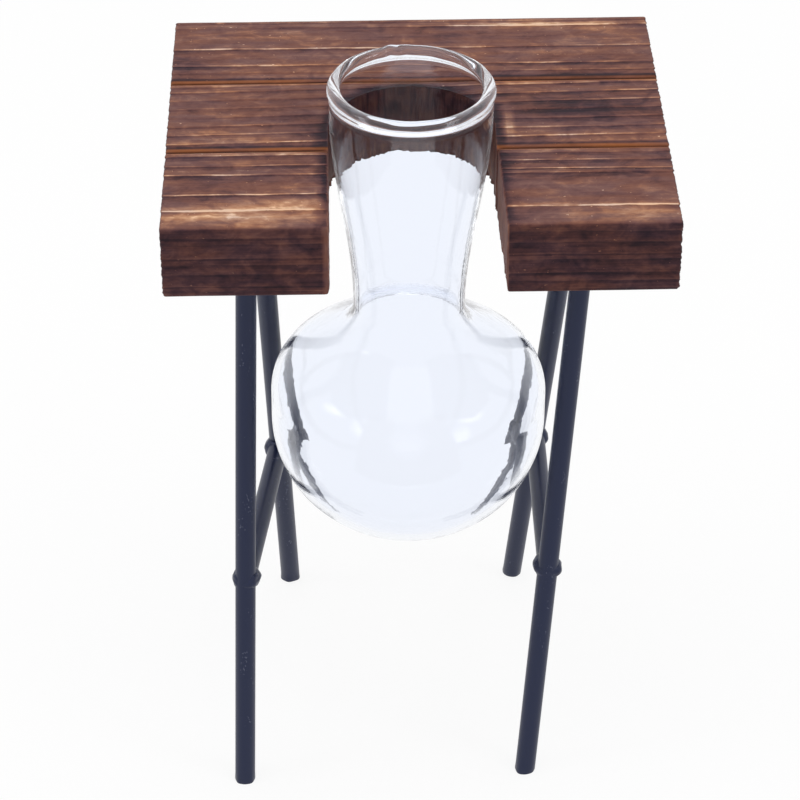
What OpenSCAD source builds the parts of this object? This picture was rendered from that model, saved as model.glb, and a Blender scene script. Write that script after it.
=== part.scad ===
// Glass bulb vase that hangs in a slotted plank stand on bar legs.
// +Z is up, the slot opens towards -Y, and the origin is on the floor under the middle of the board.

/* [Board] */
// Width of the board, along the planks
board_w = 120; // [110:1:180]
// Thickness of the planks
board_t = 19; // [15:0.5:28]
// Depth of the back plank
back_plank_d = 32; // [20:1:60]
// Depth of the middle plank, which holds the leg tops
middle_plank_d = 33; // [28:1:60]
// Depth of the front plank, which the slot cuts into two blocks
front_plank_d = 35; // [20:1:60]
// Width of the easing along the long edges of each plank
edge_ease = 0.8; // [0.3:0.1:2]

/* [Slot] */
// Sideways offset of the slot and the vase from the middle of the board
slot_offset = -1.2; // [-4:0.1:4]
// Wood of the middle plank left behind the round end of the slot
slot_end_wood = 3; // [2:0.5:12]
// Gap between the neck of the vase and the slot at the top face of the board
seat_gap = 0.25; // [0.2:0.05:1]
// Amount that the right wall of the slot opens outwards at the front
slot_flare = 0.8; // [0:0.1:3]

/* [Vase neck] */
// Outer diameter of the rolled rim
rim_d = 40.5; // [40.2:0.1:48]
// Thickness of the rolled rim
bead_d = 3.3; // [2.4:0.1:5]
// Height of the rim above the board
rim_rise = 11.8; // [6:0.1:25]
// Diameter of the neck where it passes the top face of the board
seat_d = 39.4; // [33:0.1:39.6]
// Diameter of the waist, the narrowest place of the neck
waist_d = 28.6; // [22:0.1:34]
// Depth of the waist under the top face of the board
waist_drop = 47; // [38:1:70]
// Radius of the hollow curve between the waist and the shoulder
waist_fillet = 8; // [2:0.5:12]

/* [Vase bulb] */
// Outer diameter of the bulb
bulb_d = 70.2; // [62:0.1:76]
// Radius of the convex curve between the shoulder and the side
shoulder_round = 11; // [6:0.5:18]
// Height of the straight part of the side
side_h = 10.2; // [1:0.1:15]
// Height of the rounded base under the side
base_h = 32.4; // [24:0.1:45]
// Thickness of the glass
glass_t = 1.5; // [1:0.1:2.4]
// Sideways lean of the hanging vase, in degrees
vase_lean = 0.6; // [0:0.1:1]

/* [Legs] */
// Diameter of the round bar of the legs and stretchers
bar_d = 5; // [4:0.5:7]
// Gap between the bulb and the floor
floor_gap = 57.1; // [40:1:120]
// Largest sideways room between a leg and the side of the bulb
leg_room = 10; // [9:0.5:14]
// Depth of the blind holes that hold the leg tops
leg_seat = 12; // [8:0.5:14]
// Clearance of the glue around a leg top and around a coped bar end
glue_gap = 0.1; // [0.05:0.05:0.3]
// Diameter of the weld around each joint of a leg and a stretcher
weld_d = 7.6; // [7.2:0.1:10]
// Distance from the middle of the leg to the middle of the weld
weld_shift = 0.7; // [0:0.1:1.5]

/* [Hidden] */
$fn = 96;

// Numbers of steps along the curves of the vase's outline
neck_steps = 14;
fillet_steps = 5;
round_steps = 7;
base_steps = 14;

// Length by which cuts run past the faces that they open
overrun = 1;

// Slope of the shoulder from the upright, in degrees
shoulder_angle = 48;
// End slope of the neck's curve at the board, as a share of its mean slope
neck_slope_share = 0.2;

// Legs in the order front left, front right, back left, back right, with the side that each is on
FRONT_LEFT = 0;
FRONT_RIGHT = 1;
BACK_LEFT = 2;
BACK_RIGHT = 3;
leg_sides = [-1, 1, -1, 1];
// Room beside the bulb at the top and at the foot of each leg, as shares of leg_room
top_room_shares = [0.51, 0.79, 0.27, 0.67];
foot_room_shares = [0.97, -0.64, -0.15, -0.56];
// Places of the leg tops, as shares of half the middle plank, and of the feet, as shares of half the board
top_depth_shares = [-0.57, -0.65, 0.19, 0.48];
foot_depth_shares = [-0.85, -0.81, 0.85, 0.86];
// Heights of the stretchers, left and right, as shares of the gap under the bulb
stretcher_shares = [0.99, 1.01];

board_d = back_plank_d + middle_plank_d + front_plank_d;
middle_back = board_d / 2 - back_plank_d;
middle_front = middle_back - middle_plank_d;
slot_r = seat_d / 2 + seat_gap;
slot_y = middle_back - slot_end_wood - slot_r;

// Heights along the vase, counted from the top face of the board
fillet_w = waist_fillet * (1 - cos(shoulder_angle));
fillet_h = waist_fillet * sin(shoulder_angle);
round_w = shoulder_round * (1 - cos(shoulder_angle));
round_h = shoulder_round * sin(shoulder_angle);
slope_w = (bulb_d - waist_d) / 2 - fillet_w - round_w;
slope_h = slope_w / tan(shoulder_angle);
side_z = -waist_drop - fillet_h - slope_h - round_h;
base_z = side_z - side_h;
vase_drop = base_h - base_z;

stand_h = floor_gap + vase_drop - board_t;
board_top = stand_h + board_t;

wood = [0.36, 0.2, 0.13];
charred_wood = [0.27, 0.15, 0.1];
glass = [0.86, 0.93, 0.98, 0.4];
black_paint = [0.13, 0.14, 0.17];

// Share of the neck's widening at a share t of its height: level at the waist, sloping at the board
function neck_ease(t) = t * t * (3 - neck_slope_share - (2 - neck_slope_share) * t);

// Outline of the vase from the rim down to the bottom, moved inwards by inset
function vase_outline(inset) = let (
    waist_r = waist_d / 2 - inset,
    side_r = bulb_d / 2 - inset,
    hollow = waist_fillet + inset,
    crown = shoulder_round - inset,
    crown_r = bulb_d / 2 - shoulder_round,
    hollow_r = waist_d / 2 + waist_fillet
) concat(
    [[(rim_d - bead_d / 4) / 2 - inset, rim_rise - bead_d / 2]],
    [for (i = [neck_steps:-1:1])
        [waist_r + (seat_d - waist_d) / 2 * neck_ease(i / neck_steps), -waist_drop * (1 - i / neck_steps)]],
    [for (i = [0:fillet_steps])
        let (a = shoulder_angle * i / fillet_steps)
            [hollow_r - hollow * cos(a), -waist_drop - hollow * sin(a)]],
    [for (i = [0:round_steps])
        let (a = shoulder_angle * (1 - i / round_steps))
            [crown_r + crown * cos(a), side_z + crown * sin(a)]],
    [for (i = [0:base_steps - 1])
        let (a = 90 * i / base_steps)
            [side_r * cos(a), base_z - (base_h - inset) * sin(a)]],
    [[0, base_z - base_h + inset]]
);

function reversed(points) = [for (i = [len(points) - 1:-1:0]) points[i]];

// Blown body with its wall and the rolled rim, standing in the slot
module vase() {
    color(glass)
    translate([slot_offset, slot_y, board_top])
    rotate([0, vase_lean, 0])
    union() {
        rotate_extrude()
        polygon(concat(vase_outline(0), reversed(vase_outline(glass_t))));
        rotate_extrude()
        translate([(rim_d - bead_d) / 2, rim_rise - bead_d / 2])
        circle(d = bead_d);
    }
}

// Plank across the board from y = front to y = back, with eased long edges
module plank(front, back) {
    e = edge_ease;
    translate([-board_w / 2, 0, stand_h])
    rotate([90, 0, 90])
    linear_extrude(board_w)
    polygon([
        [front + e, 0],
        [back - e, 0],
        [back, e],
        [back, board_t - e],
        [back - e, board_t],
        [front + e, board_t],
        [front, board_t - e],
        [front, e],
    ]);
}

// Room of the slot: a round end around the neck, then straight walls to the front
module slot() {
    mouth = -board_d / 2 - overrun;
    translate([slot_offset, 0, stand_h - overrun])
    linear_extrude(board_t + 2 * overrun) {
        translate([0, slot_y])
        circle(r = slot_r);
        polygon([
            [-slot_r, slot_y],
            [-slot_r, mouth],
            [slot_r + slot_flare, mouth],
            [slot_r, slot_y],
        ]);
    }
}

// Half space left (side -1) or right (side 1) of the slot's middle, over the whole board
module side_room(side) {
    translate([slot_offset + side * board_w / 2, 0, stand_h + board_t / 2])
    cube([board_w, board_d + 2 * overrun, board_t + 2 * overrun], center = true);
}

// Round bar of diameter d from one point to another, leaned over without a twist
module bar(start, end, d) {
    run = end - start;
    heading = atan2(run[1], run[0]);
    translate(start)
    rotate([0, acos(run[2] / norm(run)), heading])
    rotate(-heading)
    cylinder(h = norm(run), d = d);
}

// Middle of a leg at the floor
function leg_foot(leg) = [
    slot_offset + leg_sides[leg] * (bulb_d / 2 + foot_room_shares[leg] * leg_room),
    foot_depth_shares[leg] * board_d / 2,
    0,
];

// Middle of a leg at the underside of the board
function leg_top(leg) = [
    slot_offset + leg_sides[leg] * (bulb_d / 2 + top_room_shares[leg] * leg_room),
    (middle_front + middle_back) / 2 + top_depth_shares[leg] * middle_plank_d / 2,
    stand_h,
];

// Middle of a leg at the height z
function leg_at(leg, z) = leg_foot(leg) + (leg_top(leg) - leg_foot(leg)) * z / stand_h;

// Leg from its blind hole down to a flat foot on the floor
module leg(number) {
    color(black_paint)
    difference() {
        bar(leg_at(number, -bar_d), leg_at(number, stand_h + leg_seat), bar_d);
        translate(leg_foot(number) - [bar_d * 2, bar_d * 2, bar_d * 4])
        cube(bar_d * 4);
    }
}

// Blind hole for the top of a leg, drilled at that leg's own angle
module leg_hole(number) {
    bar(leg_at(number, stand_h - bar_d), leg_at(number, stand_h + leg_seat), bar_d + 2 * glue_gap);
}

// Level bar between a front and a back leg, coped around both
module stretcher(front, back, share) {
    z = floor_gap * share;
    color(black_paint)
    difference() {
        bar(leg_at(front, z), leg_at(back, z), bar_d);
        for (number = [front, back])
            bar(leg_at(number, z - weld_d), leg_at(number, z + weld_d), bar_d + 2 * glue_gap);
    }
}

// Lump of weld around a leg, set a little towards the other leg of its side
module weld(number, other, share) {
    z = floor_gap * share;
    here = leg_at(number, z);
    run = leg_at(other, z) - here;
    color(black_paint)
    difference() {
        translate(here + run / norm(run) * weld_shift)
        sphere(d = weld_d);
        bar(leg_at(number, z - weld_d), leg_at(number, z + weld_d), bar_d);
        difference() {
            bar(here, here + run / 2, bar_d);
            bar(leg_at(number, z - weld_d), leg_at(number, z + weld_d), bar_d + 2 * glue_gap);
        }
    }
}

module back_plank() {
    color(wood)
    plank(middle_back, board_d / 2);
}

module middle_plank() {
    color(charred_wood)
    difference() {
        plank(middle_front, middle_back);
        slot();
        for (number = [FRONT_LEFT:BACK_RIGHT])
            leg_hole(number);
    }
}

module front_block(side) {
    color(wood)
    difference() {
        plank(-board_d / 2, middle_front);
        slot();
        side_room(-side);
    }
}

vase();
back_plank();
middle_plank();
front_block(-1);  // front_left_block
front_block(1);  // front_right_block
leg(FRONT_LEFT);  // front_left_leg
leg(FRONT_RIGHT);  // front_right_leg
leg(BACK_LEFT);  // back_left_leg
leg(BACK_RIGHT);  // back_right_leg
stretcher(FRONT_LEFT, BACK_LEFT, stretcher_shares[0]);  // left_stretcher
stretcher(FRONT_RIGHT, BACK_RIGHT, stretcher_shares[1]);  // right_stretcher
weld(FRONT_LEFT, BACK_LEFT, stretcher_shares[0]);  // front_left_weld
weld(FRONT_RIGHT, BACK_RIGHT, stretcher_shares[1]);  // front_right_weld
weld(BACK_LEFT, FRONT_LEFT, stretcher_shares[0]);  // back_left_weld
weld(BACK_RIGHT, FRONT_RIGHT, stretcher_shares[1]);  // back_right_weld
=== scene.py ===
"""Looks of the hydroponic vase: scorched and brushed planks, blown glass, painted bar and its welds.

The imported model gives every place. Lengths are in metres where nothing else is said, +Z is up and the
front is towards -Y.
"""

import bisect
import logging
import math
from collections.abc import Callable, Iterator
from contextlib import contextmanager
from dataclasses import dataclass, field
from enum import Enum

import bmesh
import bpy
from bpy.types import Material, Node, NodeSocket, NodeTree, Object
from mathutils import Matrix, Vector, noise


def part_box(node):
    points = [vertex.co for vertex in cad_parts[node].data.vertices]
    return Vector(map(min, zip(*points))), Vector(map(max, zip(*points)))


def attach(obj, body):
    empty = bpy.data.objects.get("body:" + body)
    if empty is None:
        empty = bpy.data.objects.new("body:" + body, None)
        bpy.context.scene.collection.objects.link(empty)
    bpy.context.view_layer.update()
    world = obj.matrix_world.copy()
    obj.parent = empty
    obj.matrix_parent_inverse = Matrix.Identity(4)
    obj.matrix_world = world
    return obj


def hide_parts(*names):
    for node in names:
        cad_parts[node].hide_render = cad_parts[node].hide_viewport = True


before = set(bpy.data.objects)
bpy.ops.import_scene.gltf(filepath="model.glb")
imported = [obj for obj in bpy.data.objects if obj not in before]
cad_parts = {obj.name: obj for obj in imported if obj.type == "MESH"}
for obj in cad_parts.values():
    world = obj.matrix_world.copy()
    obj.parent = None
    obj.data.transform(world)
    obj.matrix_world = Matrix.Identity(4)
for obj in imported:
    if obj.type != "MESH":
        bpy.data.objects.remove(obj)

LOG = logging.getLogger("hydroponic_vase")
MM = 0.001

STAND = "stand"
VASE = "vase"

# Three numbers, for X, Y and Z or for red, green and blue.
Triple = tuple[float, float, float]
# Pairs of radius and height.
Outline = list[tuple[float, float]]


class Slot(Enum):
    """Material slots of the record."""

    GLASS = "clear_glass"
    WOOD = "scorched_wood"
    PAINT = "black_paint"


class Element(Enum):
    """What an edit-mode selection is made of."""

    EDGE = "EDGE"
    FACE = "FACE"


class Axis(Enum):
    """Axes of the frame, as indices into a vector."""

    X = 0
    Y = 1
    Z = 2


def deselect_all() -> None:
    """Deselect every object, because an operator acts on all that is selected."""
    bpy.ops.object.select_all(action="DESELECT")


def make_active(piece: Object) -> None:
    """Select one piece alone and make it the active object.

    Args:
        piece: The object to work on.
    """
    deselect_all()
    bpy.context.view_layer.objects.active = piece
    piece.select_set(True)


@contextmanager
def editing(piece: Object, element: Element) -> Iterator[None]:
    """Open a piece in edit mode with nothing selected, and close it again.

    Args:
        piece: The mesh object to edit.
        element: What the selections inside are made of.

    Yields:
        Nothing, while the piece is open.
    """
    make_active(piece)
    bpy.ops.object.mode_set(mode="EDIT")
    bpy.ops.mesh.select_mode(type=element.value)
    bpy.ops.mesh.select_all(action="DESELECT")
    yield
    bpy.ops.object.mode_set(mode="OBJECT")


def pick_edges(piece: Object, wanted: Callable[[Vector, Vector], bool]) -> None:
    """Select the edges of the open piece whose two ends pass a test.

    Args:
        piece: The mesh object that is open in edit mode.
        wanted: The test on the places of an edge's ends.
    """
    bpy.ops.mesh.select_all(action="DESELECT")
    mesh = bmesh.from_edit_mesh(piece.data)
    for edge in mesh.edges:
        if wanted(edge.verts[0].co, edge.verts[1].co):
            edge.select_set(True)
    bmesh.update_edit_mesh(piece.data)


def apply_modifier(piece: Object, kind: str, **settings: object) -> None:
    """Add a modifier to a piece and apply it.

    Args:
        piece: The mesh object.
        kind: Blender's name for the kind of modifier.
        settings: Values for the modifier's own settings.
    """
    make_active(piece)
    modifier = piece.modifiers.new(kind.lower(), kind)
    for name, value in settings.items():
        setattr(modifier, name, value)
    bpy.ops.object.modifier_apply(modifier=modifier.name)


def take_primitive(name: str) -> Object:
    """Name the primitive that was just added and put its place into its mesh.

    Args:
        name: The new name of the object and its mesh.

    Returns:
        The object, at the origin, unturned and unscaled.
    """
    piece = bpy.context.active_object
    piece.name = name
    piece.data.name = name
    bpy.ops.object.transform_apply(location=True, rotation=True, scale=True)
    return piece


def store(piece: Object, name: str, values: list[float]) -> None:
    """Keep one value for each vertex as an attribute that the materials read.

    Args:
        piece: The mesh object.
        name: The attribute's name.
        values: One value for each vertex.
    """
    attribute = piece.data.attributes.new(name, "FLOAT", "POINT")
    attribute.data.foreach_set("value", values)


def hand_over(piece: Object, degrees: float, body: str, slot: Slot, node: str, *materials: Material) -> None:
    """Shade and dress a finished piece, fix it to its body and hide the CAD node that it replaces.

    Args:
        piece: The finished object.
        degrees: The largest angle between faces that is shaded smooth.
        body: The body that it moves with.
        slot: The record's slot of its finish; it is not used.
        node: The CAD node that it replaces.
        materials: The finishes that it has not been given yet.
    """
    make_active(piece)
    bpy.ops.object.shade_smooth_by_angle(angle=math.radians(degrees))
    for material in materials:
        piece.data.materials.append(material)
    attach(piece, body)
    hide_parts(node)
    LOG.info("%s: %d faces on %s", piece.name, len(piece.data.polygons), body)


def clamp(value: float, low: float = 0.0, high: float = 1.0) -> float:
    """Return value, kept between low and high."""
    return max(low, min(high, value))


def ease(value: float) -> float:
    """Return a soft step that runs from 0 to 1 as value does."""
    t = clamp(value)
    return t * t * (3 - 2 * t)


def bell(value: float) -> float:
    """Return a soft hump that is 1 at 0 and dies away on both sides of it."""
    return math.exp(-(value ** 2))


def ripple(place: Vector, spacing: Triple, seed: float) -> float:
    """Smooth noise from about -1 to 1.

    Args:
        place: The point, in metres.
        spacing: The size of the noise's lumps along X, Y and Z, in millimetres.
        seed: Picks one noise of many.

    Returns:
        The noise at the point.
    """
    x, y, z = (value / (size * MM) for value, size in zip(place, spacing))
    return noise.noise(Vector((x + seed, y, z)))


@dataclass(frozen=True)
class Pattern:
    """A noise, by the size of its lumps in millimetres, how much finer noise it has, and its distortion."""

    size: Triple
    detail: float = 3.0
    turn: float = 0.0


class Nodes:
    """Short hand for building a node tree."""

    def __init__(self, tree: NodeTree) -> None:
        """Start on a tree.

        Args:
            tree: The node tree of a material, a group, a lamp or the surroundings.
        """
        self.tree = tree

    def find(self, kind: str) -> Node:
        """Return the node of a type that the tree already has."""
        return next(node for node in self.tree.nodes if node.type == kind)

    def feed(self, node: Node, inputs: dict[str | int, object]) -> None:
        """Set or wire the inputs of a node.

        Args:
            node: The node.
            inputs: For each input by name or number, its value or the output that feeds it.
        """
        for key, value in inputs.items():
            if isinstance(value, NodeSocket):
                self.tree.links.new(value, node.inputs[key])
            else:
                node.inputs[key].default_value = value

    def add(self, kind: str, inputs: dict[str | int, object] | None = None, **settings: object) -> Node:
        """Add a node, set it up and wire its inputs.

        Args:
            kind: Blender's name for the node.
            inputs: For each input by name or number, its value or the output that feeds it.
            settings: Values for the node's own settings.

        Returns:
            The new node.
        """
        node = self.tree.nodes.new(kind)
        for name, value in settings.items():
            setattr(node, name, value)
        self.feed(node, inputs or {})
        return node

    def math(self, operation: str, *values: object) -> NodeSocket:
        """Return the result of a sum over numbers or outputs."""
        return self.add("ShaderNodeMath", dict(enumerate(values)), operation=operation).outputs[0]

    def sway(self, base: object, pattern: NodeSocket, reach: float) -> NodeSocket:
        """Return a value that a pattern moves up to half the reach either way."""
        return self.math("MULTIPLY_ADD", self.math("SUBTRACT", pattern, 0.5), reach, base)

    def ramp(self, value: NodeSocket, *stops: tuple[float, float | Triple]) -> NodeSocket:
        """Add a colour ramp.

        Args:
            value: What runs along the ramp.
            stops: Places from 0 to 1, each with its colour or grey.

        Returns:
            The colour.
        """
        node = self.add("ShaderNodeValToRGB", {"Fac": value})
        elements = node.color_ramp.elements
        while len(elements) < len(stops):
            elements.new(1.0)
        for element, (place, tone) in zip(elements, stops):
            element.position = place
            element.color = (*(tone if isinstance(tone, tuple) else (tone, tone, tone)), 1.0)
        return node.outputs["Color"]

    def mix(self, factor: object, first: object, second: object, blend: str = "MIX") -> NodeSocket:
        """Mix two colours.

        Args:
            factor: The share of the second colour.
            first: The first colour.
            second: The second colour.
            blend: How they are mixed.

        Returns:
            The mixed colour.
        """
        inputs = {0: factor, 6: first, 7: second}
        return self.add("ShaderNodeMix", inputs, data_type="RGBA", blend_type=blend).outputs[2]

    def noise(self, pattern: Pattern) -> NodeSocket:
        """Add a noise that stays in its place on the piece.

        Args:
            pattern: Its size, detail and distortion.

        Returns:
            The noise, from 0 to 1.
        """
        place = self.add("ShaderNodeTexCoord").outputs["Object"]
        scale = tuple(1 / (size * MM) for size in pattern.size)
        mapping = self.add("ShaderNodeMapping", {"Vector": place, "Scale": scale})
        node = self.add("ShaderNodeTexNoise", {"Vector": mapping.outputs[0], "Scale": 1.0,
                                               "Detail": pattern.detail, "Distortion": pattern.turn})
        return node.outputs["Fac"]

    def bump(self, height: NodeSocket, strength: float, distance: float) -> NodeSocket:
        """Return the normal of a surface with a fine relief."""
        inputs = {"Strength": strength, "Distance": distance, "Height": height}
        return self.add("ShaderNodeBump", inputs).outputs[0]


def new_group(name: str, inputs: dict[str, float], outputs: tuple[str, ...]) -> Nodes:
    """Start a shader node group of numbers.

    Args:
        name: The group's name.
        inputs: Each input's name with its default.
        outputs: The names of its outputs.

    Returns:
        A builder for the group.
    """
    tree = bpy.data.node_groups.new(name, "ShaderNodeTree")
    for label, value in inputs.items():
        tree.interface.new_socket(label, in_out="INPUT", socket_type="NodeSocketFloat").default_value = value
    for label in outputs:
        tree.interface.new_socket(label, in_out="OUTPUT", socket_type="NodeSocketFloat")
    return Nodes(tree)


def new_material(name: str) -> tuple[Material, Nodes, Node]:
    """Start a material with a Principled shader.

    Args:
        name: The material's name.

    Returns:
        The material, a builder for its tree, and its shader.
    """
    material = bpy.data.materials.new(name)
    material.use_nodes = True
    nodes = Nodes(material.node_tree)
    return material, nodes, nodes.find("BSDF_PRINCIPLED")


@dataclass(frozen=True)
class WoodFinish:
    """Softwood that was scorched with a flame and brushed along its grain.

    Its tones run from bare wood to char, and each weight says how far a pattern moves the burn.
    """

    bare: Triple = (0.76, 0.54, 0.40)
    honey: Triple = (0.48, 0.27, 0.175)
    tan: Triple = (0.32, 0.155, 0.100)
    toasted: Triple = (0.195, 0.090, 0.072)
    brown: Triple = (0.142, 0.061, 0.054)
    dark: Triple = (0.068, 0.029, 0.033)
    char: Triple = (0.024, 0.012, 0.018)
    # Golden tone along the grooves: partly scorch colour, partly painted highlight on the eased edge of the
    # front batten.
    amber: Triple = (0.36, 0.115, 0.025)
    warm: Triple = (1.07, 0.97, 0.84)
    cool: Triple = (0.93, 0.96, 1.04)
    fibre: Pattern = Pattern((11, 0.3, 0.3), 2.0)
    streak: Pattern = Pattern((30, 1.3, 1.3))
    cloud: Pattern = Pattern((9, 2.8, 2.8), 4.0, 0.35)
    scuff: Pattern = Pattern((6, 5, 5), 5.0, 1.4)
    wear: Pattern = Pattern((15, 2.4, 2.4), 2.0)
    speck: Pattern = Pattern((1.1, 0.7, 0.7), 2.0)
    saw: Pattern = Pattern((0.8, 0.8, 6))
    hue: Pattern = Pattern((13, 4, 4))
    cloud_weight: float = 0.55
    scuff_weight: float = 0.6
    streak_weight: float = 0.27
    fibre_weight: float = 0.15
    speck_weight: float = 0.18
    shade_weight: float = 0.26
    crest_weight: float = -0.62
    # Lightens the pale specks, which are partly dust and partly painted glints.
    dust_and_glint_weight: float = -0.45
    saw_weight: float = 0.5
    torn_weight: float = 0.4
    gloss: float = 0.12
    roughness: float = 0.58
    roughness_sway: float = 0.2
    bump_strength: float = 0.3
    bump_height: float = 0.2 * MM

    def grain_group(self) -> NodeTree:
        """Build the group that draws the brushed growth rings.

        Returns:
            The group. Its crest is 1 on the worn edge of a hard ring, and its shade 1 in the step in
            front of it.
        """
        nodes = new_group("brushed_rings", {"Lip": 0.0, "Light": 0.5, "Break": 0.5, "Waver": 0.5},
                          ("Crest", "Shade"))
        entry = nodes.add("NodeGroupInput").outputs
        lip = nodes.sway(entry["Lip"], entry["Waver"], 0.5)
        along = nodes.add("ShaderNodeMapRange", {"Value": lip, "From Min": -1.0, "From Max": 3.0}).outputs[0]
        line = nodes.ramp(along, (0.14, 0.0), (0.22, 0.8), (0.275, 1.0), (0.33, 0.0))
        step = nodes.ramp(along, (0.28, 0.0), (0.35, 1.0), (0.46, 0.75), (0.9, 0.0))
        whole = nodes.add("ShaderNodeMapRange", {"Value": entry["Break"], "From Min": 0.38,
                                                 "From Max": 0.6, "To Min": 0.12})
        shown = nodes.math("MULTIPLY", whole.outputs[0], entry["Light"])
        firm = nodes.add("ShaderNodeMapRange", {"Value": entry["Light"], "From Max": 0.5, "To Min": 0.22})
        nodes.add("NodeGroupOutput", {"Crest": nodes.math("MULTIPLY", line, shown),
                                      "Shade": nodes.math("MULTIPLY", step, firm.outputs[0])})
        return nodes.tree

    def make(self) -> Material:
        """Build the material.

        Returns:
            The material.
        """
        material, nodes, shader = new_material("scorched_wood")
        fibre, streak, cloud, scuff, wear, speck, saw, hue = (
            nodes.noise(pattern) for pattern in (self.fibre, self.streak, self.cloud, self.scuff, self.wear,
                                                 self.speck, self.saw, self.hue))
        read = {name: nodes.add("ShaderNodeAttribute", attribute_name=name).outputs["Fac"]
                for name in Plank.COLUMNS}
        rings = nodes.add("ShaderNodeGroup", {"Lip": read["lip"], "Light": read["light"], "Break": wear,
                                              "Waver": cloud}, node_tree=self.grain_group()).outputs
        burn = read["burn"]
        for pattern, weight in ((cloud, self.cloud_weight), (scuff, self.scuff_weight),
                                (streak, self.streak_weight), (fibre, self.fibre_weight),
                                (speck, self.speck_weight)):
            burn = nodes.sway(burn, pattern, weight)
        # Pale specks: partly dust, partly painted glints.
        dust = nodes.ramp(speck, (0.71, 0.0), (0.76, 1.0))
        for mask, weight in ((rings["Shade"], self.shade_weight), (rings["Crest"], self.crest_weight),
                             (dust, self.dust_and_glint_weight)):
            burn = nodes.math("MULTIPLY_ADD", mask, weight, burn)
        torn = nodes.sway(read["burn"], saw, self.saw_weight)
        torn = nodes.sway(torn, scuff, self.torn_weight)
        burn = nodes.mix(read["sawn"], burn, torn)
        colour = nodes.ramp(burn, (0.0, self.bare), (0.12, self.honey), (0.28, self.tan),
                            (0.43, self.toasted), (0.6, self.brown), (0.8, self.dark), (1.0, self.char))
        colour = nodes.mix(1.0, colour, nodes.ramp(hue, (0.38, self.cool), (0.62, self.warm)), "MULTIPLY")
        colour = nodes.mix(read["amber"], colour, (*self.amber, 1.0))
        height = nodes.mix(read["sawn"], fibre, saw)
        smoothest = self.roughness - self.roughness_sway / 2
        nodes.feed(shader, {"Base Color": colour,
                            "Normal": nodes.bump(height, self.bump_strength, self.bump_height),
                            "Roughness": nodes.math("MULTIPLY_ADD", fibre, self.roughness_sway, smoothest),
                            "Specular IOR Level": self.gloss})
        return material


@dataclass(frozen=True)
class GlassFinish:
    """Clear blown glass with a faint blue cast and slightly wavy walls."""

    name: str
    glint: Triple
    tint: Triple = (0.935, 0.955, 1.0)
    ior: float = 1.5
    wave: Pattern = Pattern((5, 5, 9), 1.0)
    wave_height: float = 0.02 * MM
    grit: Pattern = Pattern((1.7, 1.7, 1.7), 1.0)
    grit_height: float = 0.008 * MM

    def make(self) -> Material:
        """Build the material.

        Returns:
            The material.
        """
        material, nodes, shader = new_material(self.name)
        height = nodes.math("MULTIPLY_ADD", nodes.noise(self.grit), self.grit_height / self.wave_height,
                            nodes.noise(self.wave))
        nodes.feed(shader, {"Normal": nodes.bump(height, 1.0, self.wave_height),
                            "Base Color": (*self.tint, 1.0), "Roughness": 0.0, "IOR": self.ior,
                            "Specular Tint": (*self.glint, 1.0), "Transmission Weight": 1.0})
        return material


@dataclass(frozen=True)
class PaintFinish:
    """Satin black paint with a blue cast, brushed on by the coat over steel bar."""

    coat: Triple = (0.008, 0.012, 0.040)
    dust: Triple = (0.10, 0.11, 0.16)
    sheen: Triple = (0.8, 0.86, 1.1)
    gloss: float = 0.45
    roughness: float = 0.36
    roughness_sway: float = 0.18
    grain: Pattern = Pattern((0.5, 0.5, 0.8), 2.0)
    patch: Pattern = Pattern((3, 3, 14))
    bump_strength: float = 0.25
    bump_height: float = 0.1 * MM

    def make(self) -> Material:
        """Build the material.

        Returns:
            The material.
        """
        material, nodes, shader = new_material("black_paint")
        grain = nodes.noise(self.grain)
        patch = nodes.noise(self.patch)
        worn = nodes.ramp(nodes.math("MULTIPLY", grain, patch), (0.39, 0.0), (0.47, 1.0))
        smoothest = self.roughness - self.roughness_sway / 2
        nodes.feed(shader, {"Base Color": nodes.mix(worn, (*self.coat, 1.0), (*self.dust, 1.0)),
                            "Normal": nodes.bump(grain, self.bump_strength, self.bump_height),
                            "Roughness": nodes.math("MULTIPLY_ADD", patch, self.roughness_sway, smoothest),
                            "Specular IOR Level": self.gloss, "Specular Tint": (*self.sheen, 1.0)})
        return material


@dataclass(frozen=True)
class Stroke:
    """One pass of the flame, or of the brush that takes the char off again.

    Its place and reach are in millimetres from the middle of the board, seen from above.
    """

    x: float
    y: float
    reach_x: float
    reach_y: float
    burn: float

    def at(self, place: Vector) -> float:
        """Return what the stroke adds to the burn at a place."""
        away = math.hypot((place.x / MM - self.x) / self.reach_x, (place.y / MM - self.y) / self.reach_y)
        return self.burn * bell(away)


@dataclass(frozen=True)
class Ridge:
    """A hard growth ring that the brush left standing.

    Its place is a share of the batten's depth from its back, and its lightness is given at both ends.
    """

    share: float
    left: float
    right: float


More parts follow.
